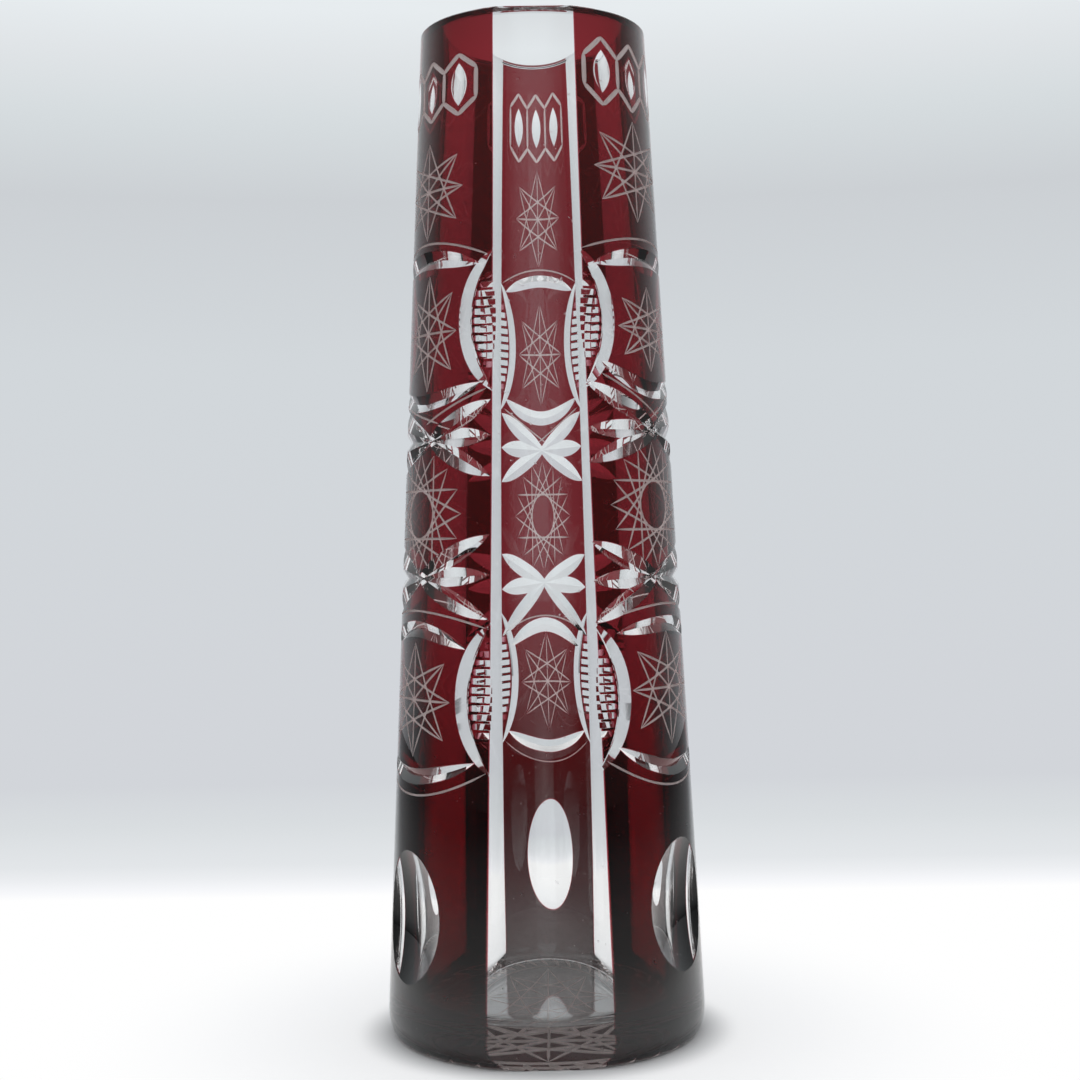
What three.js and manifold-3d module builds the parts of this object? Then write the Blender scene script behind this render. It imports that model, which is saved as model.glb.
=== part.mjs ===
// Cut vase of clear crystal cased in ruby glass.
// Millimetres, +Z up. The origin is the middle of the foot, on the table.
// Three flats are ground down the whole side, so the ruby casing is left as three tall panels.
// Each panel carries the same pattern, cut through the ruby into the clear glass, which leaves
// the ruby as separate islands.

import * as THREE from 'three';
import { mergeVertices } from 'three/addons/utils/BufferGeometryUtils.js';
import Module from 'manifold-3d';

const wasm = await Module();
wasm.setup();

const { degToRad, radToDeg } = THREE.MathUtils;

// Body
const HEIGHT = 254;
const FOOT_RADIUS = 40.8;
const MOUTH_RADIUS = 28.65;
const HEEL_ROUND = 5;
const RIM_BEVEL = 0.8;
const CASING = 0.35;
const CLEARANCE = 0.3;
const FOOT_RING = 1.2;

// Bore
const FLOOR = 10;
const FLOOR_ROUND = 14;
const BORE_FOOT_RADIUS = 32.8;
const BORE_FOOT_Z = 39;
const BORE_MIDDLE_RADIUS = 29.2;
const BORE_MOUTH_RADIUS = 22.6;

// Flats: how deep each is ground into the round side, at the table and at the rim
const FLATS = 3;
const FLAT_FOOT_DEPTH = 3.1;
const FLAT_MOUTH_DEPTH = 1.75;

// Cuts: how much deeper than the casing a mitre still is where it parts two islands, how far the
// cutters stand proud of the glass, and how many degrees a cut runs past the edge of its panel
const PARTING = 0.6;
const PROUD = 1;
const OVERRUN = 4;

// Row of olives, at a distance below the rim and an angle apart
const OLIVES = 3;
const OLIVE_DROP = 17.4;
const OLIVE_PITCH = 20;
const OLIVE_HEIGHT = 11;
const OLIVE_WIDTH = 6;
const OLIVE_WHEEL = 14;

// Ladder fans on both edges of a panel: ends of the band on the edge, its reach from the edge
const UPPER_FAN = { low: 161.5, high: 194.3, reach: 11.7, width: 2.9 };
const LOWER_FAN = { low: 70, high: 104.3, reach: 10.9, width: 3.1 };
const LADDER_PITCH = 2.15;
const LADDER_NOTCH = 1.15;
const LADDER_MARGIN = 0.65;
const LADDER_END = 3.4;

// Crescents between two fans: height of the tips, on the fans' bands, bow of the middle above
// the tips, and width
const CRESCENTS = {
  brow: { fan: UPPER_FAN, tips: UPPER_FAN.high - 2, bow: 2.7, width: 3.5 },
  smile: { fan: UPPER_FAN, tips: UPPER_FAN.low + 1.5, bow: -4, width: 4.2 },
  lowBrow: { fan: LOWER_FAN, tips: LOWER_FAN.high - 4.8, bow: 4, width: 4 },
  lowSmile: { fan: LOWER_FAN, tips: LOWER_FAN.low + 2.4, bow: -5, width: 3.9 },
};
const CRESCENT_DEPTH = 2.3;

// Crosses of six petals: middle, and the heights where the petals meet the edge of the panel
const UPPER_CROSS = { centre: 150, tips: [160, 150.5, 141] };
const LOWER_CROSS = { centre: 114.8, tips: [125, 115, 104.5] };
const PETAL_WIDTH = 4.8;

// Dished oval near the foot
const OVAL_Z = 35;
const OVAL_HEIGHT = 32.6;
const OVAL_WIDTH = 26;
const OVAL_WHEEL = 38;

// Fineness of the facets
const SIDES = 36;
const BORE_SIDES = 24;
const ROUND_STEPS = 3;
const BORE_STEPS = 4;
const OLIVE_SIDES = 24;
const OVAL_SIDES = 32;
const ARC_SIDES = 5;
const OVAL_STEPS = 4;

const SIDE_SLOPE = Math.atan((FOOT_RADIUS - MOUTH_RADIUS) / HEIGHT);
const OLIVE_Z = HEIGHT - OLIVE_DROP;

function outerRadius(z) {
  return THREE.MathUtils.lerp(FOOT_RADIUS, MOUTH_RADIUS, z / HEIGHT);
}

// Distance from the axis to a flat
function flatDistance(z) {
  return outerRadius(z) - THREE.MathUtils.lerp(FLAT_FOOT_DEPTH, FLAT_MOUTH_DEPTH, z / HEIGHT);
}

// Angle from the middle of a panel to its edge, in degrees
function panelEdge(z) {
  return 180 / FLATS - radToDeg(Math.acos(flatDistance(z) / outerRadius(z)));
}

// Solids

function solid(geometry) {
  geometry.deleteAttribute('normal');
  geometry.deleteAttribute('uv');
  const merged = mergeVertices(geometry, 1e-4);
  return new wasm.Manifold(new wasm.Mesh({
    numProp: 3,
    vertProperties: new Float32Array(merged.attributes.position.array),
    triVerts: new Uint32Array(merged.index.array),
  }));
}

function geometryOf(manifold) {
  const mesh = manifold.getMesh();
  const geometry = new THREE.BufferGeometry();
  geometry.setAttribute('position', new THREE.BufferAttribute(mesh.vertProperties, 3));
  geometry.setIndex(new THREE.BufferAttribute(mesh.triVerts, 1));
  geometry.computeVertexNormals();
  return geometry;
}

function joined(solids) {
  return solids.reduce((sum, next) => sum.add(next));
}

function turnedSolid(profile, sides = SIDES) {
  const geometry = new THREE.LatheGeometry(profile, sides);
  geometry.rotateX(Math.PI / 2);
  geometry.rotateZ(Math.PI / 2);
  return solid(geometry);
}

// Profiles of the body, as outlines in radius and height

// The rounded heel, set in from the outside by `inset`, from height `from` upwards
function heel(inset, from) {
  const radius = HEEL_ROUND - inset;
  const centre = outerRadius(HEEL_ROUND) - HEEL_ROUND;
  const start = Math.asin((HEEL_ROUND - from) / radius);
  const points = [];
  for (let step = 0; step <= ROUND_STEPS; step += 1) {
    const angle = start * (1 - step / ROUND_STEPS);
    points.push(new THREE.Vector2(
      centre + radius * Math.cos(angle),
      HEEL_ROUND - radius * Math.sin(angle),
    ));
  }
  return points;
}

// The inside of the vase, from the middle of its floor up to the rim
function bore() {
  const centre = BORE_FOOT_RADIUS - FLOOR_ROUND;
  const points = [new THREE.Vector2(0, FLOOR)];
  for (let step = 0; step < ROUND_STEPS; step += 1) {
    const angle = (Math.PI / 2) * (step / ROUND_STEPS);
    points.push(new THREE.Vector2(
      centre + FLOOR_ROUND * Math.sin(angle),
      FLOOR + FLOOR_ROUND * (1 - Math.cos(angle)),
    ));
  }
  const bend = 2 * BORE_MIDDLE_RADIUS - (BORE_FOOT_RADIUS + BORE_MOUTH_RADIUS) / 2;
  const top = HEIGHT - RIM_BEVEL;
  const wall = new THREE.QuadraticBezierCurve(
    new THREE.Vector2(BORE_FOOT_RADIUS, BORE_FOOT_Z),
    new THREE.Vector2(bend, (BORE_FOOT_Z + top) / 2),
    new THREE.Vector2(BORE_MOUTH_RADIUS, top),
  );
  points.push(...wall.getPoints(BORE_STEPS));
  return points;
}

function boreProfile() {
  const inside = bore();
  const mouth = inside.at(-1);
  const above = mouth.clone().add(new THREE.Vector2(2 * RIM_BEVEL, 2 * RIM_BEVEL));
  return [...inside, above, new THREE.Vector2(0, above.y)];
}

function bodyProfile() {
  const inset = CASING + CLEARANCE;
  const shoulder = outerRadius(HEIGHT) - inset;
  return [
    new THREE.Vector2(0, 0),
    ...heel(0, 0).slice(0, 1),
    ...heel(0, 0).filter((point) => point.y > 0 && point.y < FOOT_RING),
    ...heel(0, FOOT_RING).slice(0, 1),
    ...heel(inset, FOOT_RING),
    new THREE.Vector2(shoulder, HEIGHT - RIM_BEVEL),
    new THREE.Vector2(shoulder - RIM_BEVEL, HEIGHT),
    new THREE.Vector2(0, HEIGHT),
  ];
}

function casingProfile() {
  const low = FOOT_RING + CLEARANCE;
  const high = HEIGHT - RIM_BEVEL;
  const outside = [...heel(0, low), new THREE.Vector2(outerRadius(high), high)];
  const inside = [...heel(CASING, low), new THREE.Vector2(outerRadius(high) - CASING, high)];
  return [...outside, ...inside.reverse(), outside[0].clone()];
}

// Places on a panel whose middle faces +X: the angle is from the middle, in degrees

function onPanel(angle, z) {
  const turn = degToRad(angle);
  const radius = outerRadius(z);
  return new THREE.Vector3(radius * Math.cos(turn), radius * Math.sin(turn), z);
}

// Directions at a place on the panel's face: level to the right, up the face, and out of it
function faceAxes(angle) {
  const turn = degToRad(angle);
  const level = new THREE.Vector3(-Math.sin(turn), Math.cos(turn), 0);
  const out = new THREE.Vector3(
    Math.cos(turn) * Math.cos(SIDE_SLOPE),
    Math.sin(turn) * Math.cos(SIDE_SLOPE),
    Math.sin(SIDE_SLOPE),
  );
  return { level, out, up: out.clone().cross(level) };
}

// Moves a geometry so that its own Y and Z lie along two directions, and its origin at a point
function moved(geometry, y, z, origin) {
  const axes = new THREE.Matrix4().makeBasis(y.clone().cross(z), y, z).setPosition(origin);
  return geometry.applyMatrix4(axes);
}

// How far a circle bulges past a chord
function bulge(radius, chord) {
  return radius - Math.sqrt(radius ** 2 - (chord / 2) ** 2);
}

// How far a circle falls away from its tangent, over an angle in degrees
function fallAway(radius, angle) {
  return radius * (1 - Math.cos(degToRad(angle)));
}

function radiusOfArc(chord, height) {
  return ((chord / 2) ** 2 + height ** 2) / (2 * height);
}

// A straight V cut between two places, given as angle and height. On the round side of the vase
// it leaves a pointed leaf.
function straightCut(from, to, depth, width, spare) {
  const start = onPanel(...from);
  const end = onPanel(...to);
  const angle = (from[0] + to[0]) / 2;
  const z = (from[1] + to[1]) / 2;
  const along = end.clone().sub(start).normalize();
  const across = faceAxes(angle).out.cross(along).normalize();
  const outward = along.clone().cross(across);
  const length = start.distanceTo(end) + 2 * spare;
  const halfWidth = (width / 2) * ((depth + PROUD) / depth);
  const section = new THREE.Shape([
    new THREE.Vector2(0, -depth),
    new THREE.Vector2(halfWidth, PROUD),
    new THREE.Vector2(-halfWidth, PROUD),
  ]);
  const wedge = new THREE.ExtrudeGeometry(section, { depth: length, bevelEnabled: false });
  wedge.translate(0, 0, -length / 2);
  return moved(wedge, outward, along, onPanel(angle, z));
}

// Part of a V-edged ring about +Y, which faces +X. The edge follows a circle at y = 0 over an
// angle `sweep`, and opens along `opening`, given in radius and height.
function curvedCut(radius, sweep, depth, width, opening) {
  const scale = (depth + PROUD) / depth;
  const edge = new THREE.Vector2(radius, 0);
  const back = edge.clone().addScaledVector(opening, depth * scale);
  const side = new THREE.Vector2(-opening.y, opening.x).multiplyScalar((width / 2) * scale);
  const profile = [edge, back.clone().sub(side), back.clone().add(side), edge.clone()];
  const start = Math.PI / 2 - sweep / 2;
  const arc = new THREE.LatheGeometry(profile, ARC_SIDES, start, sweep);
  const last = ARC_SIDES * profile.length;
  arc.setIndex([...arc.index.array, 0, 1, 2, last, last + 2, last + 1]);
  return arc;
}

// Cuts of one panel

// An olive: the mark of a small mitre wheel, upright on the panel
function olive(angle, z) {
  const radius = outerRadius(z);
  const depth = bulge(OLIVE_WHEEL, OLIVE_HEIGHT);
  const flat = (OLIVE_WIDTH / 2) / (depth - bulge(radius, OLIVE_WIDTH));
  const profile = [
    new THREE.Vector2(0, -OLIVE_WHEEL * flat),
    new THREE.Vector2(OLIVE_WHEEL, 0),
    new THREE.Vector2(0, OLIVE_WHEEL * flat),
  ];
  const wheel = new THREE.LatheGeometry(profile, OLIVE_SIDES);
  const { level, up, out } = faceAxes(angle);
  const centre = onPanel(angle, z).addScaledVector(out, OLIVE_WHEEL - depth);
  return moved(wheel, level, up, centre);
}

function olives() {
  const cuts = [];
  for (let place = 0; place < OLIVES; place += 1) {
    cuts.push(olive((place - (OLIVES - 1) / 2) * OLIVE_PITCH, OLIVE_Z));
  }
  return cuts;
}

// The band of a fan is an arc laid flat against the side of the panel. This gives the angle where
// its middle touches the panel, its radius, and how far round it runs.
function fanShape(fan) {
  const z = (fan.low + fan.high) / 2;
  const angle = panelEdge(z) - fan.reach;
  const chord = fan.high - fan.low;
  const radius = radiusOfArc(chord, degToRad(fan.reach) * outerRadius(z));
  const sweep = 2 * (Math.asin(chord / 2 / radius) + degToRad(OVERRUN));
  return { z, angle, radius, sweep };
}

// Angle of a line that follows a fan's band at a height, set in towards the panel's edge
function fanAngle(fan, height, inset) {
  const { z, angle, radius } = fanShape(fan);
  const inner = radius - inset;
  const away = radius - Math.sqrt(Math.max(inner ** 2 - (height - z) ** 2, 0));
  return angle + radToDeg(away / outerRadius(height));
}

function fanBand(fan, side) {
  const { z, angle, radius, sweep } = fanShape(fan);
  const depth = fallAway(outerRadius(z), fan.reach) + CASING + PARTING;
  const band = curvedCut(radius, sweep, depth, fan.width, new THREE.Vector2(0, 1));
  band.rotateY(side > 0 ? 0 : Math.PI);
  const { level, up, out } = faceAxes(side * angle);
  const centre = onPanel(side * angle, z)
    .addScaledVector(level, side * radius)
    .addScaledVector(out, -depth);
  return moved(band, out, up, centre);
}

// A crescent: a tilted arc, deepest in the middle, which ends in the bands of the two fans
function crescent({ fan, tips, bow, width }) {
  const middle = new THREE.Vector3(outerRadius(tips + bow) - CRESCENT_DEPTH, 0, tips + bow);
  const reach = degToRad(fanAngle(fan, tips, 0));
  const tipRadius = outerRadius(tips) - CASING - PARTING / 2;
  const halfChord = tipRadius * Math.sin(reach);
  const fall = middle.x - tipRadius * Math.cos(reach);
  const radius = radiusOfArc(2 * halfChord, Math.hypot(fall, bow));
  const tilt = Math.atan2(bow, fall);
  const opening = new THREE.Vector2(Math.cos(tilt - SIDE_SLOPE), -Math.sin(tilt - SIDE_SLOPE));
  const sweep = 2 * Math.asin(halfChord / radius);
  const arc = curvedCut(radius, sweep, CRESCENT_DEPTH, width, opening);
  const outward = new THREE.Vector3(Math.cos(tilt), 0, Math.sin(tilt));
  const axis = new THREE.Vector3(-Math.sin(tilt), 0, Math.cos(tilt));
  return moved(arc, axis, outward.clone().cross(axis), middle.addScaledVector(outward, -radius));
}

// Angle where the ladder of a fan starts at a height, just inside its band
function ladderStart(fan, height) {
  return fanAngle(fan, height, fan.width / 2 + LADDER_MARGIN);
}

// The notches that make a ladder of the ruby between a fan's band and the edge of the panel
function ladderNotches(fan, side) {
  const ladder = fan.high - fan.low - 2 * LADDER_END;
  const count = Math.floor(ladder / LADDER_PITCH) + 1;
  const first = (fan.low + fan.high) / 2 - ((count - 1) * LADDER_PITCH) / 2;
  const notches = [];
  for (let rung = 0; rung < count; rung += 1) {
    const z = first + rung * LADDER_PITCH;
    const start = ladderStart(fan, z);
    const end = panelEdge(z) + OVERRUN;
    const length = degToRad(end - start) * outerRadius(z);
    const notch = new THREE.BoxGeometry(4 * CASING, length, LADDER_NOTCH);
    notch.translate(outerRadius(z), 0, z);
    notch.rotateZ(side * degToRad((start + end) / 2));
    notches.push(notch);
  }
  return notches;
}

// The petals of a cross, each deep enough to part the ruby where it runs off the panel
function petals(cross) {
  const cuts = [];
  for (const side of [-1, 1]) {
    for (const tip of cross.tips) {
      const reach = panelEdge(tip);
      const depth = fallAway(outerRadius(tip), reach / 2) + CASING + PARTING;
      const to = [side * reach, tip];
      cuts.push(straightCut([0, cross.centre], to, depth, PETAL_WIDTH, PETAL_WIDTH));
    }
  }
  return cuts;
}

// The dished oval: the mark of a crowned wheel, pressed square to the side of the vase
function ovalCut() {
  const depth = bulge(OVAL_WHEEL, OVAL_HEIGHT);
  const crownHeight = depth - bulge(outerRadius(OVAL_Z), OVAL_WIDTH);
  const crown = radiusOfArc(OVAL_WIDTH, crownHeight);
  const halfWidth = OVAL_WIDTH * 0.7;
  const profile = [new THREE.Vector2(0, -halfWidth)];
  for (let step = 0; step <= OVAL_STEPS; step += 1) {
    const across = halfWidth * ((2 * step) / OVAL_STEPS - 1);
    profile.push(new THREE.Vector2(OVAL_WHEEL - bulge(crown, 2 * across), across));
  }
  profile.push(new THREE.Vector2(0, halfWidth));
  const wheel = new THREE.LatheGeometry(profile, OVAL_SIDES);
  const { level, up, out } = faceAxes(0);
  return moved(wheel, level, up, onPanel(0, OVAL_Z).addScaledVector(out, OVAL_WHEEL - depth));
}

function deepCuts() {
  return [
    ...olives(),
    ...Object.values(CRESCENTS).map(crescent),
    ...[UPPER_FAN, LOWER_FAN].flatMap((fan) => [fanBand(fan, -1), fanBand(fan, 1)]),
    ...petals(UPPER_CROSS),
    ...petals(LOWER_CROSS),
    ovalCut(),
  ];
}

function casingCuts() {
  return [UPPER_FAN, LOWER_FAN].flatMap((fan) => [
    ...ladderNotches(fan, -1),
    ...ladderNotches(fan, 1),
  ]);
}

// What is ground away at one flat, for a flat that faces +X
function flatCut(turn) {
  const depth = FOOT_RADIUS;
  const block = new THREE.BoxGeometry(depth, 4 * FOOT_RADIUS, 3 * HEIGHT);
  block.translate(depth / 2, 0, 0);
  block.rotateY(-Math.atan((flatDistance(0) - flatDistance(HEIGHT)) / HEIGHT));
  block.translate(flatDistance(0), 0, 0);
  block.rotateZ(turn);
  return solid(block);
}

const SECTOR = (2 * Math.PI) / FLATS;

function flats() {
  const cuts = [];
  for (let flat = 0; flat < FLATS; flat += 1) {
    cuts.push(flatCut((flat + 0.5) * SECTOR));
  }
  return joined(cuts);
}

// The clear glass, cut with every panel's pattern
function clearBody() {
  const pattern = joined(deepCuts().map(solid));
  const block = turnedSolid(bodyProfile()).subtract(turnedSolid(boreProfile(), BORE_SIDES));
  const cuts = [flats()];
  for (let panel = 0; panel < FLATS; panel += 1) {
    cuts.push(pattern.rotate([0, 0, panel * radToDeg(SECTOR)]));
  }
  return block.subtract(joined(cuts));
}

// The ruby of one panel, as the islands that the cuts leave
function rubyIslands() {
  const casing = turnedSolid(casingProfile()).subtract(flats());
  const panel = casing.decompose().find((piece) => piece.boundingBox().min[0] > 0);
  const cuts = [...deepCuts(), ...casingCuts()].map((cut) => solid(cut));
  return panel.subtract(joined(cuts)).decompose();
}

// The island that holds a place on the panel
function islandAt(islands, angle, z) {
  const probe = new THREE.BoxGeometry(CASING / 2, CASING / 2, CASING / 2);
  const place = onPanel(angle, z).addScaledVector(faceAxes(angle).out, -CASING / 2);
  probe.translate(place.x, place.y, place.z);
  const marker = solid(probe);
  return islands.find((island) => island.intersect(marker).volume() > 0);
}

// Where each island of ruby lies on its panel
function islandPlaces() {
  const places = {
    top_field: [0, (OLIVE_Z + UPPER_FAN.high) / 2],
    upper_window: [0, (UPPER_FAN.low + UPPER_FAN.high) / 2],
    upper_collar: [0, UPPER_CROSS.centre + PETAL_WIDTH],
    middle_field: [0, (UPPER_CROSS.centre + LOWER_CROSS.centre) / 2],
    lower_collar: [0, LOWER_CROSS.centre - PETAL_WIDTH],
    lower_window: [0, (LOWER_FAN.low + LOWER_FAN.high) / 2],
    bottom_field: [0, (OVAL_Z - OVAL_HEIGHT / 2) / 2],
  };
  const corners = { upper: UPPER_CROSS, lower: LOWER_CROSS };
  for (const [level, cross] of Object.entries(corners)) {
    for (const [end, tip] of [['top', cross.tips[0]], ['bottom', cross.tips[2]]]) {
      const z = (tip + cross.tips[1]) / 2;
      const angle = panelEdge(z) - 2 * OVERRUN;
      places[`${level}_cross_left_${end}`] = [-angle, z];
      places[`${level}_cross_right_${end}`] = [angle, z];
    }
  }
  for (const [level, fan] of [['upper', UPPER_FAN], ['lower', LOWER_FAN]]) {
    const z = (fan.low + fan.high) / 2;
    const angle = ladderStart(fan, z) - radToDeg(LADDER_MARGIN / 2 / outerRadius(z));
    places[`${level}_ladder_left`] = [-angle, z];
    places[`${level}_ladder_right`] = [angle, z];
  }
  return places;
}

// Assembly

const clearGlass = new THREE.MeshStandardMaterial({
  color: 0xdfe5e8,
  roughness: 0.03,
  metalness: 0,
  transparent: true,
  opacity: 0.4,
  flatShading: true,
});
const rubyGlass = new THREE.MeshStandardMaterial({
  color: 0x7d1a20,
  roughness: 0.05,
  metalness: 0,
  flatShading: true,
});

function mesh(name, geometry, material) {
  const made = new THREE.Mesh(geometry, material);
  made.name = name;
  return made;
}

const vase = new THREE.Group();

// One flat faces -Y, so the panels face +Y and away to both sides of it
const bodyGroup = new THREE.Group();
bodyGroup.rotation.z = Math.PI / 2;
bodyGroup.add(mesh('clear_body', geometryOf(clearBody()), clearGlass));
vase.add(bodyGroup);

const islands = rubyIslands();
const islandGeometries = Object.entries(islandPlaces()).map(([name, [angle, z]]) => (
  [name, geometryOf(islandAt(islands, angle, z))]
));
['back', 'left', 'right'].forEach((place, turn) => {
  const panel = new THREE.Group();
  panel.rotation.z = Math.PI / 2 + turn * SECTOR;
  for (const [name, geometry] of islandGeometries) {
    panel.add(mesh(`${place}_${name}`, geometry, rubyGlass));
  }
  vase.add(panel);
});

export default vase;
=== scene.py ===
import math

import bmesh
import bpy
from mathutils import Matrix, Vector

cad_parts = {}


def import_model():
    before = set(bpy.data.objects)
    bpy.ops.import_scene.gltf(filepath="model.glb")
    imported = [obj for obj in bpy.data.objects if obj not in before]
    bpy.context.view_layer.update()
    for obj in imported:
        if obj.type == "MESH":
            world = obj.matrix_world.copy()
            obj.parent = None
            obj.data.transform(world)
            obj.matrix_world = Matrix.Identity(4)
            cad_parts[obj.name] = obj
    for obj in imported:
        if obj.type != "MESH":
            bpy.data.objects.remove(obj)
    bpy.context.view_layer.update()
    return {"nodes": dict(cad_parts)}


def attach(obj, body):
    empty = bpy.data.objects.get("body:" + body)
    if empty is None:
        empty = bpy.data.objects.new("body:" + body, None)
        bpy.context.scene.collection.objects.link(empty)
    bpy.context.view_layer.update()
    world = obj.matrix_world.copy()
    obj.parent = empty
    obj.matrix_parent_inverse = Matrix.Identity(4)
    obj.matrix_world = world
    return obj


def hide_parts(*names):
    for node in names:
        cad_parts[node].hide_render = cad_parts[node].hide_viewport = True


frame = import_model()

# Sizes in millimetres and degrees. The height and the cone are the solids' own. The rest is the
# look's, a little finer than the solids and inside their box. Panels are worked out facing +X.
HEIGHT = 254.0
FOOT_RADIUS = 40.8
MOUTH_RADIUS = 28.65
SLOPE = math.atan((FOOT_RADIUS - MOUTH_RADIUS) / HEIGHT)
HEEL_HEIGHT = 7.0
HEEL_DEPTH = 3.0
RIM_ROUND = 0.5
RIM_INNER_ROUND = 1.1
PANEL_PITCH = 120.0
THIRD = math.radians(PANEL_PITCH)
SIDES = 240
MILLIMETRE = 0.001

# The bore: its floor, the round corner there, its low part's radius and the height where it
# begins to narrow, then its radius halfway up and at the mouth
FLOOR = 8.4
FLOOR_ROUND = 4.0
BORE_FOOT = (32.8, 39.0)
BORE_MIDDLE_RADIUS = 29.2
BORE_MOUTH_RADIUS = 22.6

# The flats' depth, as a curve of the height below the rim, and the height over which they run
# out at the foot, with how much less deep they are there, and the bend of that end
FLAT_DEPTH = (1.78, 0.00165, 1.65e-5)
FLAT_END = (14.0, 0.6)
FLAT_END_BEND = 1.5
# The hand-ground flats differ (left back, front, right back): share of the depth, turn at the
# mouth and at the foot, and the furthest that each may lie from the axis
FRONT = 1
FLAT_SHARE = (0.95, 1.0, 0.75)
FLAT_TURN = ((0.0, 0.0), (0.5, 1.35), (-1.0, -2.5))
FLAT_LIMIT = (39.0, 37.28, 39.5)
# A grinding stone's half width and thickness, and how far it reaches past both ends of the vase
STONE = (40.0, 30.0)
STONE_OVERRUN = 20.0

# The ruby casing as it is drawn: its depth below the surface, its ends, and its thickness by
# height. Its cutters go deeper than the glass's where a cut is shallow.
RUBY_INSET = 0.03
CASING_FOOT = 1.0
CASING_TOP = 0.3
CASING_LOW = 10.0
BACK_RUBY = ((0.0, 0.34), (20.0, 0.29), (43.0, 0.235), (70.0, 0.165), (90.0, 0.125),
             (110.0, 0.1), (HEIGHT, 0.1))
SIDE_RUBY = ((0.0, 0.25), (20.0, 0.22), (43.0, 0.18), (70.0, 0.135), (90.0, 0.115),
             (110.0, 0.1), (HEIGHT, 0.1))
RUBY_CUT = 4.0

# Cutters stand proud of the surface. Reaches and overruns are in degrees round the vase, but
# the band's is along its own arc.
PROUD = 0.5
UPPER_FAN = {"low": 161.5, "high": 194.3, "reach": 12.2, "width": 3.9}
LOWER_FAN = {"low": 70.0, "high": 104.3, "reach": 11.4, "width": 4.0}
BAND_DEPTH = 0.65
BAND_LEAN = 0.6
BAND_OVERRUN = 4.0
LADDER_PITCH = 2.15
LADDER_FLOOR = 1.4
LADDER_SIDE = 0.45
LADDER_MARGIN = 0.25
LADDER_END = 3.4
# A notch's deepest place and its stations, as shares of its length, and its rounded inner end:
# that end's length, how far it closes there, and the least depth
NOTCH_MIDDLE = 1.05
NOTCH_STATIONS = (0.0, 0.015, 0.04, 0.08, 0.14, 0.22, 0.35, 0.5, 0.65, 0.8, 1.0, 1.3)
NOTCH_END = 0.14
NOTCH_CLOSED = 0.96
NOTCH_SKIM = 0.03
CRESCENT_DEPTH = 1.25
CRESCENT_BEND = 1.8
PETAL_WIDTH = 4.9
PETAL_OVERRUN = 0.6
# The share of its length that a petal runs on past the middle of its cross
PETAL_BACK = 0.1
PETAL_STEPS = 24
OLIVE_WIDTH = 5.8
OLIVE_HEIGHT = 10.8
OLIVE_DEPTH = 0.3
OLIVE_STEPS = 20
OVAL_HEIGHT = 32.6
OVAL_WIDTH = 26.0
OVAL_WHEEL = 38.0
OVAL_WHEEL_SIDES = 192
# The wheel's half thickness, as a share of the mark's width
OVAL_WHEEL_HALF = 0.7

# Fine lines are (width, depth). A hexagon's lines run on a little, round and up the vase.
HEXAGONS = 3
HEXAGON_PITCH = 20.0
HEXAGON_LINE = (1.25, 0.38)
HEXAGON_OVERRUN = (0.4, 0.5)
LINE = (0.52, 0.28)
LINE_STEPS = 8
# A line's width at its ends, as a share, and how fast it grows from there
LINE_END = (0.15, 12)
ARCH_OVERRUN = 0.5
SWALLOW_OVERRUN = 0.12
SWALLOW_STEPS = 16
# Stars: points, and how many points on each line goes. The oblong one's slanting points lie
# further out than on an oval.
FIELD_STAR = (8, 3)
FIELD_STAR_CORNER = (0.86, 0.66)
MIDDLE_STAR = (16, 6)
MIDDLE_STAR_RADIUS = 15.5
# Under the foot: a star, two rings, and slanting hatches that run on round the heel. A hatch
# goes out in even steps (outward, round), then by radius, height and lean.
FOOT_STAR = (8, 3)
FOOT_STAR_RADIUS = 27.0
FOOT_LINE = (0.75, 0.35)
FOOT_RINGS = (29.3, 34.6)
FOOT_RING_LINE = (0.6, 0.35)
FOOT_RING_STEPS = 48
HATCHES = 32
HATCH_LINE = (1.9, 0.65)
HATCH_START = 30.5
HATCH_STEP = (1.3, 1.2)
HATCH_STEPS = 6
HATCH_HEEL = ((39.1, 0.5, 30.0), (40.1, 1.5, 50.0), (40.8, 3.0, 70.0))

# Edges sharper than this stay sharp. The slacks say which faces lie on a flat or on the cone.
BODY_SHARP = 14.0
RUBY_SHARP = 30.0
FLAT_SLACK = 0.01
CONE_SLACK = 0.02
FACING = 0.99
ALIKE = 0.997

# Places in the materials' lists
POLISHED = 0
MATTE = 1

# The right back flat is narrower, so the back panel's pattern lies further that way: the turn
# by height in the panel's middle, and the turn at that edge
BACK_SKEW = (((0, 5.0), (60, 5.0), (85, 4.0), (110, 2.4), (HEIGHT, 2.0)), 4.6)
PANEL_HALF = 39.0

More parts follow.
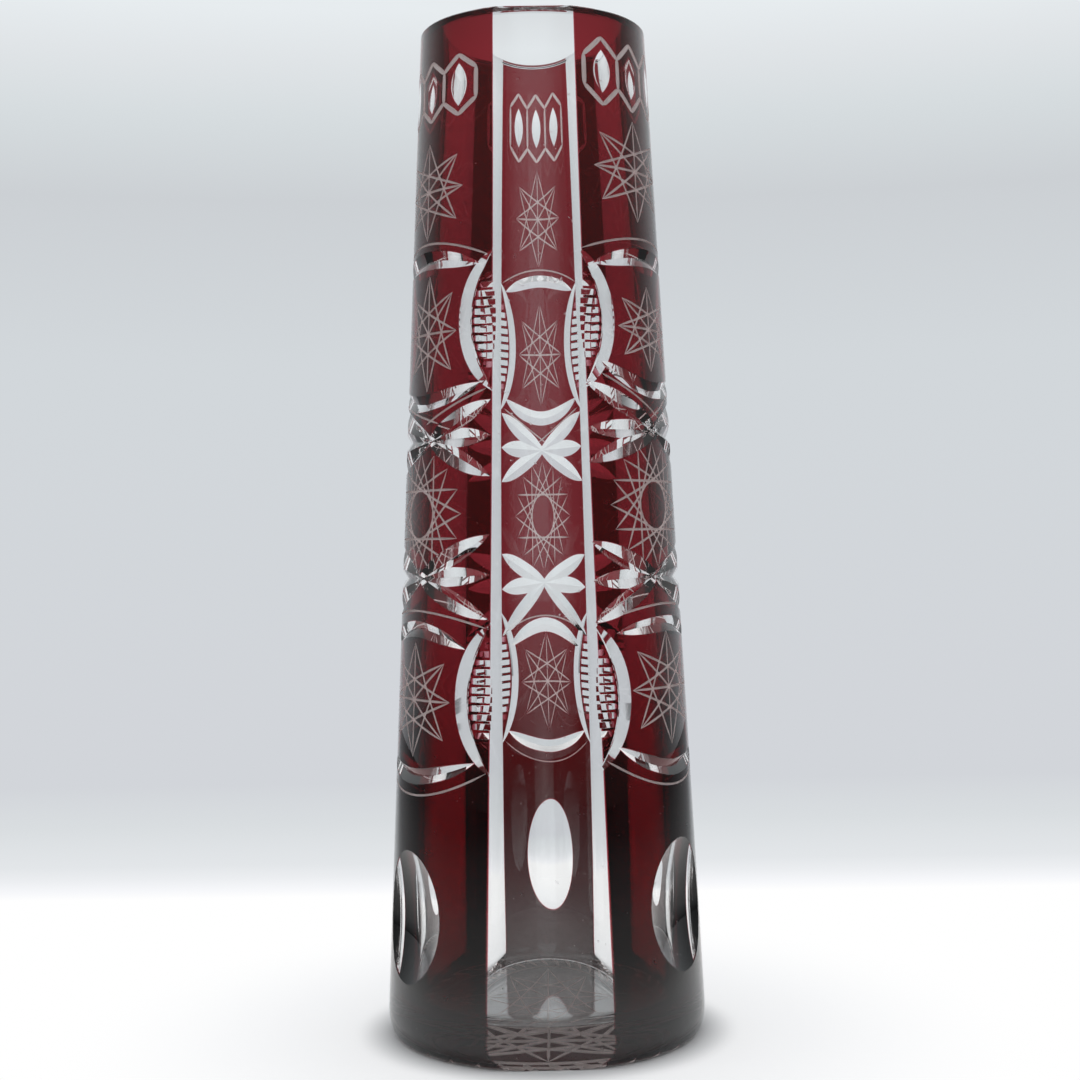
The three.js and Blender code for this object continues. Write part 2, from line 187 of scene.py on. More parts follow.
# What was cut by hand on each panel. Angles are from the middle of the panel.
PANELS = {
    "back": {
        "turn": 0, "ruby": BACK_RUBY, "fans": (UPPER_FAN, LOWER_FAN), "skew": BACK_SKEW,
        # angle, height, half height, half side
        "hexagons": (0.0, 237.8, 9.2, 5.3),
        # angle, height, half height, half width
        "stars": ((0.0, 213.2, 13.3, 12.5), (0.0, 176.1, 14.2, 12.0), (0.0, 85.5, 14.0, 14.0)),
        # angle, height
        "middle_star": (0.0, 131.6),
        # middle, lower-angle tip, higher-angle tip, reach, width
        "crescents": ((196.3, 192.8, 192.8, 36.0, 3.5), (158.6, 164.0, 164.0, 36.0, 4.1),
                      (101.4, 94.6, 95.2, 33.0, 4.2), (67.35, 72.7, 72.7, 35.0, 3.9)),
        # apex, ends
        "arches": ((199.4, 194.9), (103.9, 98.6), (62.9, 70.4)),
        # start's reach and height, crossing's angle and height
        "swallow": (37.0, 161.2, 0.0, 152.8),
        # centre's angle and height, tips on the lower-angle side, tips on the higher-angle side
        "crosses": ((0.0, 149.8, (160.0, 150.5, 141.0), (160.0, 150.5, 141.0)),
                    (0.0, 113.1, (121.0, 112.0, 98.6), (121.4, 111.6, 98.6))),
        "petal_depth": 1.4,
        # height
        "oval": 36.5,
    },
    "left": {
        "turn": 1, "ruby": SIDE_RUBY, "fans": (UPPER_FAN, {**LOWER_FAN, "reach": 10.8}),
        "hexagons": (2.0, 236.2, 7.5, 3.6),
        "stars": ((1.0, 211.3, 12.0, 13.0), (4.3, 176.0, 14.3, 10.5), (0.5, 86.1, 14.0, 14.0)),
        "middle_star": (1.0, 131.5),
        "crescents": ((194.3, 192.0, 191.7, 35.0, 4.6), (158.9, 163.2, 163.2, 36.0, 4.2),
                      (103.5, 99.0, 98.8, 30.0, 4.0), (67.35, 72.2, 72.2, 34.5, 3.9)),
        "arches": ((198.4, 193.4), (107.9, 103.8), (62.8, 69.8)),
        "swallow": (38.0, 161.4, 8.0, 154.5),
        "crosses": ((8.0, 149.6, (160.0, 150.5, 141.0), (158.8, 150.2, 140.3)),
                    (3.0, 115.8, (125.5, 115.5, 105.0), (126.4, 116.8, 106.0))),
        "petal_depth": 1.55,
        "oval": 32.7,
    },
    "right": {
        "turn": 2, "ruby": SIDE_RUBY, "fans": (UPPER_FAN, LOWER_FAN),
        "hexagons": (-5.2, 238.7, 8.45, 3.5),
        "stars": ((-5.5, 215.4, 12.5, 14.0), (-1.2, 176.6, 10.5, 12.0),
                  (-1.5, 88.4, 14.0, 14.0)),
        "middle_star": (-4.5, 133.1),
        "crescents": ((194.3, 191.3, 192.0, 35.0, 4.5), (161.5, 168.6, 165.0, 34.0, 4.2),
                      (104.0, 102.2, 100.0, 30.0, 4.0), (68.7, 75.6, 72.5, 32.0, 3.9)),
        "arches": ((198.8, 194.8), (108.9, 104.6), (64.6, 73.3)),
        "swallow": (32.4, 164.9, 0.0, 155.7),
        "crosses": ((-0.6, 151.7, (163.0, 151.4, 143.3), (161.0, 151.0, 142.0)),
                    (-6.8, 115.6, (124.5, 114.9, 104.8), (125.0, 115.0, 104.5))),
        "petal_depth": 1.55,
        "oval": 35.0,
    },
}


# Measures

def outer_radius(z):
    return FOOT_RADIUS + (MOUTH_RADIUS - FOOT_RADIUS) * z / HEIGHT


def flat_distance(z, k=FRONT):
    below = HEIGHT - z
    a, b, c = FLAT_DEPTH
    return outer_radius(z) - FLAT_SHARE[k % 3] * (a + b * below + c * below ** 2)


def flat_angle(k, z):
    top, foot = FLAT_TURN[k % 3]
    return (k + 0.5) * THIRD + math.radians(foot + (top - foot) * z / HEIGHT)


def panel_edge(z):
    return PANEL_PITCH / 2 - math.degrees(math.acos(flat_distance(z) / outer_radius(z)))


def on_panel(angle, z):
    a = math.radians(angle)
    r = outer_radius(z)
    return Vector((r * math.cos(a), r * math.sin(a), z))


def face_axes(angle):
    """Level to the side, up the face and out of it, at an angle on the panel."""
    a = math.radians(angle)
    level = Vector((-math.sin(a), math.cos(a), 0.0))
    out = Vector((math.cos(a) * math.cos(SLOPE), math.sin(a) * math.cos(SLOPE), math.sin(SLOPE)))
    return level, out.cross(level), out


def bulge(radius, chord):
    """How high an arc of this radius stands over its chord."""
    return radius - math.sqrt(radius ** 2 - (chord / 2) ** 2)


def radius_of_arc(chord, height):
    return ((chord / 2) ** 2 + height ** 2) / (2 * height)


def between(table, z):
    """The value at a height, taken between the rows of a (height, value) table."""
    for (low, a), (high, b) in zip(table, table[1:]):
        if z <= high:
            return a + (b - a) * (z - low) / (high - low)


def steps(half):
    """Even steps from -1 to 1, with as many on each side of 0."""
    return [i / half - 1 for i in range(2 * half + 1)]


# Meshes

def made(name, verts, faces, material=POLISHED):
    mesh = bpy.data.meshes.new(name)
    mesh.from_pydata([tuple(v) for v in verts], [], faces)
    bm = bmesh.new()
    bm.from_mesh(mesh)
    bmesh.ops.recalc_face_normals(bm, faces=bm.faces)
    if bm.calc_volume(signed=True) < 0:
        bmesh.ops.reverse_faces(bm, faces=bm.faces)
    bm.to_mesh(mesh)
    bm.free()
    for glass in (crystal, frosted):
        mesh.materials.append(glass)
    mesh.polygons.foreach_set("material_index", [material] * len(mesh.polygons))
    obj = bpy.data.objects.new(name, mesh)
    bpy.context.scene.collection.objects.link(obj)
    return obj


def turned(name, profile, sides=SIDES, closed=False):
    """A solid turned about Z from (radius, height) points. Points on the axis close it."""
    verts, rings, faces = [], [], []
    for radius, z in profile:
        count = 1 if radius < 1e-9 else sides
        rings.append((len(verts), count))
        for i in range(count):
            a = 2 * math.pi * i / sides
            verts.append((radius * math.cos(a), radius * math.sin(a), z))
    pairs = list(zip(rings, rings[1:])) + ([(rings[-1], rings[0])] if closed else [])
    for (a, na), (b, nb) in pairs:
        for i in range(sides):
            j = (i + 1) % sides
            quad = [a + i % na, a + j % na, b + j % nb, b + i % nb]
            face = list(dict.fromkeys(quad))
            if len(face) > 2:
                faces.append(face)
    return made(name, verts, faces)


def lofted(name, rings, material=POLISHED):
    """A closed solid through rings of points, with both ends closed."""
    count = len(rings[0])
    verts = [p for ring in rings for p in ring]
    faces = []
    for r in range(len(rings) - 1):
        for i in range(count):
            j = (i + 1) % count
            faces.append((r * count + i, r * count + j, (r + 1) * count + j, (r + 1) * count + i))
    faces.append(tuple(range(count)))
    faces.append(tuple(range(len(verts) - count, len(verts))))
    return made(name, verts, faces, material)


def combined(target, cutters, operation):
    """The target joined with, or cut by, the other solids, which are used up."""
    group = bpy.data.collections.new("cutters")
    for cutter in cutters:
        group.objects.link(cutter)
    modifier = target.modifiers.new("cut", "BOOLEAN")
    modifier.operation = operation
    modifier.operand_type = "COLLECTION"
    modifier.collection = group
    modifier.solver = "MANIFOLD"
    bpy.context.view_layer.update()
    graph = bpy.context.evaluated_depsgraph_get()
    mesh = bpy.data.meshes.new_from_object(target.evaluated_get(graph))
    target.modifiers.clear()
    old, target.data = target.data, mesh
    bpy.data.meshes.remove(old)
    bpy.data.collections.remove(group)
    for cutter in cutters:
        bpy.data.objects.remove(cutter)
    return target


# How wide a groove is along its length, from 0 to 1

def swelling(power, least):
    """Widest in the middle. A higher power has blunter ends."""
    return lambda t: max(1 - abs(2 * t - 1) ** power, least)


LEAF = swelling(2, 0.03)
PETAL = swelling(2.6, 0.03)
HORN = swelling(4, 0.03)
BAND = swelling(3, 0.1)
STROKE = swelling(8, 0.3)


def scratch(t):
    """Even, with short pointed ends."""
    tip, growth = LINE_END
    return min(1.0, tip + growth * t, tip + growth * (1 - t))


def even(t):
    return 1.0


# Cutters. `grow` makes one a little larger, for the ruby, whose edges lie just inside the glass.

def groove(name, path, width, depth, envelope, grow=0.0, material=POLISHED, lean=0.0):
    """A V groove along (place, outward normal) stations.

    The envelope scales its section, and lean shifts its bottom to one side.
    """
    rings = []
    slope = width / 2 / depth
    for i, (place, out) in enumerate(path):
        before = path[max(i - 1, 0)][0]
        after = path[min(i + 1, len(path) - 1)][0]
        across = (after - before).cross(out).normalized()
        scale = envelope(i / (len(path) - 1))
        bottom = place + across * (width / 2 * lean * scale)
        here = depth * scale + grow
        right = (here + PROUD) * slope * (1 - lean) + grow
        left = (here + PROUD) * slope * (1 + lean) + grow
        high = bottom + out * PROUD
        rings.append([bottom - out * here, high + across * right, high - across * left])
    return lofted(name, rings, material)


def through(depth, grow):
    """A shallow cut takes all of the ruby over its width, so its cutter for the ruby is deeper."""
    return depth * (RUBY_CUT if grow else 1.0)


def panel_path(points):
    return [(on_panel(angle, z), face_axes(angle)[2]) for angle, z in points]


def straight(start, end, count=LINE_STEPS):
    return [
        (start[0] + (end[0] - start[0]) * i / count, start[1] + (end[1] - start[1]) * i / count)
        for i in range(count + 1)
    ]


def fan_shape(fan):
    """The arc of a fan's band: its middle's height and angle, its radius and its sweep."""
    z = (fan["low"] + fan["high"]) / 2
    angle = panel_edge(z) - fan["reach"]
    chord = fan["high"] - fan["low"]
    radius = radius_of_arc(chord, math.radians(fan["reach"]) * outer_radius(z))
    sweep = 2 * (math.asin(chord / 2 / radius) + math.radians(BAND_OVERRUN))
    return z, angle, radius, sweep


def fan_angle(fan, height, inset):
    """Where a line that runs inside the band by the inset is at a height."""
    z, angle, radius, _ = fan_shape(fan)
    inner = radius - inset
    away = radius - math.sqrt(max(inner ** 2 - (height - z) ** 2, 0.0))
    return angle + math.degrees(away / outer_radius(height))


def fan_band(fan, side, grow):
    z, angle, radius, sweep = fan_shape(fan)
    points = []
    for u in steps(16):
        a = sweep / 2 * u
        away = math.degrees(radius * (1 - math.cos(a)) / outer_radius(z))
        points.append((side * (angle + away), z + radius * math.sin(a)))
    return groove("band", panel_path(points), fan["width"], through(BAND_DEPTH, grow), BAND, grow,
                  lean=side * BAND_LEAN)


def crescent(middle, low_tip, high_tip, reach, width, grow):
    points = []
    for u in steps(24):
        tip = high_tip if u > 0 else low_tip
        points.append((reach * u, middle + (tip - middle) * abs(u) ** CRESCENT_BEND))
    return groove("crescent", panel_path(points), width, CRESCENT_DEPTH, HORN, grow)


def notch(z, side, start, end, grow):
    """A flat-bottomed cut, straight across, so it is deepest at NOTCH_MIDDLE of its length."""
    radius = outer_radius(z)
    middle = start + NOTCH_MIDDLE * (end - start)
    distance = radius * math.cos(math.radians(middle - start))
    rings = []
    for t in NOTCH_STATIONS:
        angle = start + (end - start) * t
        _, up, out = face_axes(side * angle)
        place = on_panel(side * angle, z)
        depth = radius - distance / math.cos(math.radians(angle - middle))
        depth = max(depth, 0.0) + NOTCH_SKIM + grow
        closing = max(1 - t / NOTCH_END, 0) ** 2 * NOTCH_CLOSED
        half = LADDER_FLOOR / 2 * math.sqrt(1 - closing) + grow
        brim = half + (depth + PROUD) * LADDER_SIDE
        low, high = place - out * depth, place + out * PROUD
        rings.append([low - up * half, low + up * half, high + up * brim, high - up * brim])
    return lofted("notch", rings)


def ladder(fan, side, grow):
    """The row of notches between a fan's band and the edge of the panel."""
    length = fan["high"] - fan["low"] - 2 * LADDER_END
    count = int(length / LADDER_PITCH) + 1
    first = (fan["low"] + fan["high"]) / 2 - (count - 1) * LADDER_PITCH / 2
    cuts = []
    for rung in range(count):
        z = first + rung * LADDER_PITCH
        start = fan_angle(fan, z, fan["width"] / 2 + LADDER_MARGIN)
        cuts.append(notch(z, side, start, panel_edge(z), grow))
    return cuts


def hexagons(shift, z, half_height, half_side, grow):
    """The outlines of hexagons side by side: the posts between them, then their gables."""
    round_more, up_more = HEXAGON_OVERRUN
    lines = []
    for post in range(HEXAGONS + 1):
        angle = (post - HEXAGONS / 2) * HEXAGON_PITCH
        lines.append(((angle, -half_side - up_more), (angle, half_side + up_more)))
    for half in range(2 * HEXAGONS):
        near = (half / 2 - HEXAGONS / 2) * HEXAGON_PITCH
        far = near + HEXAGON_PITCH / 2
        start, end = (half_side, half_height) if half % 2 == 0 else (half_height, half_side)
        for way in (-1, 1):
            lines.append(((near - round_more, way * start), (far + round_more, way * end)))
    cuts = []
    for a, b in lines:
        path = panel_path(straight((shift + a[0], z + a[1]), (shift + b[0], z + b[1])))
        cuts.append(groove("hexagon", path, *HEXAGON_LINE, STROKE, grow, MATTE))
    return cuts


def olives(shift, z, grow):
    """One olive in the middle of each hexagon."""
    cuts = []
    for angle in (shift - HEXAGON_PITCH, shift, shift + HEXAGON_PITCH):
        low, high = z - OLIVE_HEIGHT / 2, z + OLIVE_HEIGHT / 2
        path = panel_path(straight((angle, low), (angle, high), OLIVE_STEPS))
        cuts.append(groove("olive", path, OLIVE_WIDTH, through(OLIVE_DEPTH, grow), LEAF, grow))
    return cuts


def petals(angle, centre, low_side, high_side, depth, grow):
    """A cross of petals from near its middle to tips at the panel's edges."""
    cuts = []
    for side, tips in ((-1, low_side), (1, high_side)):
        for tip in tips:
            reach = side * (panel_edge(tip) + PETAL_OVERRUN)
            start = (angle - PETAL_BACK * (reach - angle), centre - PETAL_BACK * (tip - centre))
            path = panel_path(straight(start, (reach, tip), PETAL_STEPS))
            cuts.append(groove("petal", path, PETAL_WIDTH, depth, PETAL, grow))
    return cuts


def engraved(points, grow):
    return groove("line", panel_path(points), *LINE, scratch, grow, MATTE)


def star_lines(angle, z, star, half_height, half_width, grow):
    """A star of straight lines. FIELD_STAR fills its oblong more than an oval would."""
    points, skip = star
    corners = []
    for i in range(points):
        a = math.radians(90 + 360 * i / points)
        across, up = math.cos(a), math.sin(a)
        if star == FIELD_STAR and i % 2:
            across = math.copysign(FIELD_STAR_CORNER[0], across)
            up = math.copysign(FIELD_STAR_CORNER[1], up)
        corners.append((angle + math.degrees(half_width * across / outer_radius(z)),
                        z + half_height * up))
    pairs = [(i, (i + skip) % points) for i in range(points)]
    if star == FIELD_STAR:
        pairs += [(i, i + points // 2) for i in range(points // 2)]
    return [engraved(straight(corners[a], corners[b]), grow) for a, b in pairs]


def arch(apex, ends, grow):
    """A thin line across the whole panel, highest or lowest in the middle."""
    reach = panel_edge(apex) + ARCH_OVERRUN
    flatness = 1 - math.cos(math.radians(reach))
    points = []
    for u in steps(16):
        drop = (1 - math.cos(math.radians(reach * u))) / flatness
        points.append((reach * u, apex + (ends - apex) * drop))
    return engraved(points, grow)


def swallow(reach, start, angle, crossing, grow):
    """Two thin lines that cross under the upper smile and end a little past the crossing."""
    cuts = []
    for side in (-1, 1):
        begin = math.sin(math.radians(side * reach))
        cross = math.sin(math.radians(angle))
        points = []
        for i in range(SWALLOW_STEPS + 1):
            t = i / SWALLOW_STEPS * (1 + SWALLOW_OVERRUN)
            across = begin + (cross - begin) * t
            points.append((math.degrees(math.asin(across)), start + (crossing - start) * t))
        cuts.append(engraved(points, grow))
    return cuts


def oval(z, grow):
    """The mark of a crowned wheel, pressed square to the side."""
    depth = bulge(OVAL_WHEEL, OVAL_HEIGHT)
    crown = radius_of_arc(OVAL_WIDTH, depth - bulge(outer_radius(z), OVAL_WIDTH))
    half = OVAL_WIDTH * OVAL_WHEEL_HALF
    profile = [(0.0, -half)]
    for u in steps(16):
        across = half * u
        profile.append((OVAL_WHEEL + grow - bulge(crown, 2 * across), across))
    profile.append((0.0, half))
    wheel = turned("oval", profile, OVAL_WHEEL_SIDES)
    level, up, out = face_axes(0.0)
    centre = on_panel(0.0, z) + out * (OVAL_WHEEL - depth)
    axes = Matrix((up, out, level)).transposed().to_4x4()
    wheel.data.transform(Matrix.Translation(centre) @ axes)
    return wheel


def skewed(obj, middle, edge):
    """Carries a cutter round the vase, as the pattern follows the edge of a wider panel."""
    for v in obj.data.vertices:
        share = math.degrees(math.atan2(v.co.y, v.co.x)) / PANEL_HALF
        turn = between(middle, v.co.z)
        if share < 0:
            turn = turn + (edge - turn) * min(1.0, -share)
        else:
            turn = turn * max(0.0, 1 - share)
        v.co = Matrix.Rotation(-math.radians(turn), 3, "Z") @ v.co


def panel_cuts(shape, grow):
    angle, z, half_height, half_side = shape["hexagons"]
    cuts = hexagons(angle, z, half_height, half_side, grow) + olives(angle, z, grow)
    cuts += [crescent(*row, grow) for row in shape["crescents"]]
    for fan in shape["fans"]:
        for side in (-1, 1):
            cuts.append(fan_band(fan, side, grow))
            cuts += ladder(fan, side, grow)
    for cross in shape["crosses"]:
        cuts += petals(*cross, shape["petal_depth"], grow)
    for angle, z, half_height, half_width in shape["stars"]:
        cuts += star_lines(angle, z, FIELD_STAR, half_height, half_width, grow)
    cuts += star_lines(*shape["middle_star"], MIDDLE_STAR, MIDDLE_STAR_RADIUS, MIDDLE_STAR_RADIUS,
                       grow)
    cuts += [arch(apex, ends, grow) for apex, ends in shape["arches"]]
    cuts += swallow(*shape["swallow"], grow)
    cuts.append(oval(shape["oval"], grow))
    if "skew" in shape:
        for cut in cuts:
            skewed(cut, *shape["skew"])
    return cuts


DOWN = Vector((0.0, 0.0, -1.0))


def under(radius, degrees):
    """A place on the underside of the foot."""
    a = math.radians(degrees)
    return Vector((radius * math.cos(a), radius * math.sin(a), 0.0))


def foot_star():
    points, skip = FOOT_STAR
    half = points // 2
    cuts = []
    for i in range(points):
        for far in (skip, half) if i < half else (skip,):
            a = under(FOOT_STAR_RADIUS, 360 / points * i)
            b = under(FOOT_STAR_RADIUS, 360 / points * (i + far))
            path = [(a.lerp(b, t / LINE_STEPS), DOWN) for t in range(LINE_STEPS + 1)]
            cuts.append(groove("foot_line", path, *FOOT_LINE, scratch, 0.0, MATTE))
    return cuts


def foot_hatches():
    outward, round_it = HATCH_STEP
    cuts = []
    for i in range(HATCHES):
        a = 360 / HATCHES * i
        path = []
        for t in range(HATCH_STEPS + 1):
            path.append((under(HATCH_START + outward * t, a + round_it * t), DOWN))
        for radius, z, lean in HATCH_HEEL:
            place = under(radius, a + (radius - HATCH_START))
            out = (place.normalized() * math.sin(math.radians(lean))
                   + DOWN * math.cos(math.radians(lean)))
            path.append((place + Vector((0.0, 0.0, z)), out))
        cuts.append(groove("foot_hatch", path, *HATCH_LINE, BAND, 0.0, MATTE))
    return cuts


def foot_rings():
    """Each ring is cut in two halves, because a groove has two ends."""
    cuts = []
    middle = FOOT_RING_STEPS // 2
    for radius in FOOT_RINGS:
        turn = 360 / FOOT_RING_STEPS
        path = [(under(radius, turn * i), DOWN) for i in range(FOOT_RING_STEPS + 1)]
        for half in (path[:middle + 1], path[middle:]):
            cuts.append(groove("foot_ring", half, *FOOT_RING_LINE, even, 0.0, MATTE))
    return cuts


def flat_blocks(grow=0.0, first=0, end_steps=10, side_steps=16):
    """The grinding stones' shapes, from the first panel on. Each flat runs out at its foot."""
    half_width, thickness = STONE
    reach, rise = FLAT_END
    heights = [0.0] + [reach * i / end_steps for i in range(end_steps + 1)]
    heights += [reach + (HEIGHT - reach) * i / side_steps for i in range(1, side_steps + 1)]
    heights.append(HEIGHT + STONE_OVERRUN)
    blocks = []
    for k in range(3):
        rings = []
        for i, z in enumerate(heights):
            end = rise * max(0.0, 1 - z / reach) ** FLAT_END_BEND
            near = min(flat_distance(z, k + first) + end, FLAT_LIMIT[(k + first) % 3]) - grow
            far = near + thickness
            level = z if i else -STONE_OVERRUN
            corners = ((near, -half_width, level), (far, -half_width, level),
                       (far, half_width, level), (near, half_width, level))
            turn = Matrix.Rotation(flat_angle(k + first, z) - first * THIRD, 4, "Z")
            rings.append([turn @ Vector(c) for c in corners])
        blocks.append(lofted("flat", rings))
    return blocks


# Profiles, as (radius, height) points

def heel(inset, start_z, count=14):
    """The rounded foot, an ellipse that runs into the cone."""
    points = []
    for i in range(count + 1):
        z = start_z + (HEEL_HEIGHT - start_z) * (i / count) ** 2
        away = math.sqrt(max(1 - ((HEEL_HEIGHT - z) / HEEL_HEIGHT) ** 2, 0.0))
        points.append((outer_radius(z) - HEEL_DEPTH * (1 - away) - inset, z))
    return points


def rim(radius, size, way, count=8):
    """A quarter round between the side and the top of the rim."""
    points = []
    for i in range(count + 1):
        a = math.radians(90 * i / count)
        points.append((radius - way * size * (1 - math.cos(a)), HEIGHT - size * (1 - math.sin(a))))
    return points


def outer_profile():
    top = HEIGHT - RIM_ROUND
    return [(0.0, 0.0)] + heel(0.0, 0.0) + rim(outer_radius(top), RIM_ROUND, 1) + [(0.0, HEIGHT)]


def bore_profile(corner_steps=28, side_steps=24, above=2.0):
    """A round floor corner, a curve that narrows to the mouth, and the rim's inner round."""
    foot_radius, foot_z = BORE_FOOT
    centre = foot_radius - FLOOR_ROUND
    points = [(0.0, FLOOR)]
    for i in range(corner_steps + 1):
        a = math.radians(90 * i / corner_steps)
        away, up = FLOOR_ROUND * math.sin(a), FLOOR_ROUND * (1 - math.cos(a))
        points.append((centre + away, FLOOR + up))
    top = HEIGHT - RIM_INNER_ROUND
    bend = 2 * BORE_MIDDLE_RADIUS - (foot_radius + BORE_MOUTH_RADIUS) / 2
    middle = (foot_z + top) / 2
    for i in range(side_steps + 1):
        t = i / side_steps
        u = 1 - t
        r = u * u * foot_radius + 2 * u * t * bend + t * t * BORE_MOUTH_RADIUS
        z = u * u * foot_z + 2 * u * t * middle + t * t * top
        points.append((r, z))
    points += rim(BORE_MOUTH_RADIUS, RIM_INNER_ROUND, -1)[1:]
    points.append((BORE_MOUTH_RADIUS + RIM_INNER_ROUND, HEIGHT + above))
    points.append((0.0, HEIGHT + above))
    return points


def casing_profile(table):
    heights = [CASING_LOW] + [low for low, _ in table[1:-1]] + [HEIGHT - CASING_TOP]
    outer = heel(RUBY_INSET, CASING_FOOT) + [(outer_radius(z) - RUBY_INSET, z) for z in heights]
    inner = [(r - between(table, z), z) for r, z in outer]
    return outer + inner[::-1]


# Finishing

def flat_normals(points, facing, k, first):
    """The exact normals at the corners of a face of one flat, or None."""
    angles = [flat_angle(k + first, p.z) - first * THIRD for p in points]
    alongs = [Vector((math.cos(a), math.sin(a), 0.0)) for a in angles]
    if facing.dot(alongs[0]) <= FACING:
        return None
    off = [p.dot(along) - flat_distance(p.z, k + first) for p, along in zip(points, alongs)]
    if max(off) >= FLAT_SLACK or min(off) <= -FLAT_SLACK:
        return None
    leans = [(flat_distance(p.z - 1, k + first) - flat_distance(p.z + 1, k + first)) / 2
             for p in points]
    return [Vector((along.x, along.y, lean)).normalized() for along, lean in zip(alongs, leans)]


def cone_normals(points):
    """The exact normals at the corners of a face of the cone, or None."""
    radii = [math.hypot(p.x, p.y) for p in points]
    if any(abs(radius - outer_radius(p.z)) >= CONE_SLACK for p, radius in zip(points, radii)):
        return None
    return [Vector((p.x, p.y, radius * math.tan(SLOPE))).normalized()
            for p, radius in zip(points, radii)]


def true_normals(points, facing, first):
    """The exact normals at the corners of a face, where it lies on a flat or on the cone."""
    low, high = min(p.z for p in points), max(p.z for p in points)
    exact = None
    if low > FLAT_END[0] - FLAT_SLACK:
        for k in range(3):
            exact = flat_normals(points, facing, k, first) or exact
    on_side = low > HEEL_HEIGHT - FLAT_SLACK and high < HEIGHT - RIM_ROUND + FLAT_SLACK
    if exact is None and on_side:
        exact = cone_normals(points)
    if exact and all(normal.dot(facing) > ALIKE for normal in exact):
        return exact
    return None


def polished(obj, sharp, first=0):
    """Smooth faces with sharp edges and exact normals, turned to its place and in metres."""
    mesh = obj.data
    mesh.shade_smooth()
    mesh.set_sharp_from_angle(angle=math.radians(sharp))
    normals = [n.vector.copy() for n in mesh.corner_normals]
    for face in mesh.polygons:
        exact = true_normals([mesh.vertices[v].co for v in face.vertices], face.normal, first)
        if exact:
            for corner, normal in zip(face.loop_indices, exact):
                normals[corner] = normal
    mesh.normals_split_custom_set(normals)
    mesh.transform(Matrix.Scale(MILLIMETRE, 4) @ Matrix.Rotation(math.radians(90), 4, "Z"))


# Nodes

def node_material(name):
    """A new material, its nodes and links, its output, and the object's own coordinates."""
    mat = bpy.data.materials.new(name)
    mat.use_nodes = True
    tree = mat.node_tree
    tree.nodes.clear()
    out = tree.nodes.new("ShaderNodeOutputMaterial")
    where = tree.nodes.new("ShaderNodeTexCoord").outputs["Object"]
    return mat, tree, out, where


def noise(tree, where, scale, detail=2.0):
    tex = tree.nodes.new("ShaderNodeTexNoise")
    tex.inputs["Scale"].default_value = scale
    tex.inputs["Detail"].default_value = detail
    tree.links.new(where, tex.inputs["Vector"])
    return tex.outputs["Fac"]


def spread(tree, socket, low, high, kind="LINEAR", bottom=0.0, top=1.0):
    """The socket's value, taken from low..high onto bottom..top."""
    node = tree.nodes.new("ShaderNodeMapRange")
    node.interpolation_type = kind
    node.inputs["From Min"].default_value = low
    node.inputs["From Max"].default_value = high
    node.inputs["To Min"].default_value = bottom
    node.inputs["To Max"].default_value = top
    tree.links.new(socket, node.inputs["Value"])
    return node.outputs["Result"]


def maths(tree, operation, a, b):
    node = tree.nodes.new("ShaderNodeMath")
    node.operation = operation
    for socket, value in zip(node.inputs, (a, b)):
        if isinstance(value, float):
            socket.default_value = value
        else:
            tree.links.new(value, socket)
    return node.outputs[0]


def ramp(tree, socket, stops):
    node = tree.nodes.new("ShaderNodeValToRGB")
    elements = node.color_ramp.elements
    while len(elements) < len(stops):
        elements.new(0.5)
    for element, (place, colour) in zip(elements, stops):
        element.position = place
        element.color = (*colour, 1)
    tree.links.new(socket, node.inputs["Fac"])
    return node.outputs["Color"]


def blend(tree, factor, first, second):
    """A mix of two colours, each a tuple or a socket."""
    mix = tree.nodes.new("ShaderNodeMix")
    mix.data_type = "RGBA"
    tree.links.new(factor, mix.inputs[0])
    for socket, value in ((mix.inputs[6], first), (mix.inputs[7], second)):
        if isinstance(value, tuple):
            socket.default_value = value
        else:
            tree.links.new(value, socket)
    return mix.outputs[2]


def greys(stops):
    return [(place, (value,) * 3) for place, value in stops]


def linear(*srgb):
    return [(c / 255 / 12.92) if c <= 10 else ((c / 255 + 0.055) / 1.055) ** 2.4 for c in srgb]


# Materials

def crystal_material():
    """Clear glass with fine dust and a slight waviness."""
    mat, tree, out, where = node_material("crystal")
    glass = tree.nodes.new("ShaderNodeBsdfPrincipled")
    glass.inputs["Base Color"].default_value = (0.985, 0.99, 0.99, 1)
    glass.inputs["Transmission Weight"].default_value = 1.0
    glass.inputs["IOR"].default_value = 1.54
    specks = spread(tree, noise(tree, where, 520.0, 3.0), 0.7, 0.76, top=0.3)
    tree.links.new(specks, glass.inputs["Roughness"])
    bump = tree.nodes.new("ShaderNodeBump")
    bump.inputs["Strength"].default_value = 0.25
    bump.inputs["Distance"].default_value = 0.00006
    tree.links.new(noise(tree, where, 45.0), bump.inputs["Height"])
    tree.links.new(bump.outputs["Normal"], glass.inputs["Normal"])
    tree.links.new(glass.outputs["BSDF"], out.inputs["Surface"])
    return mat


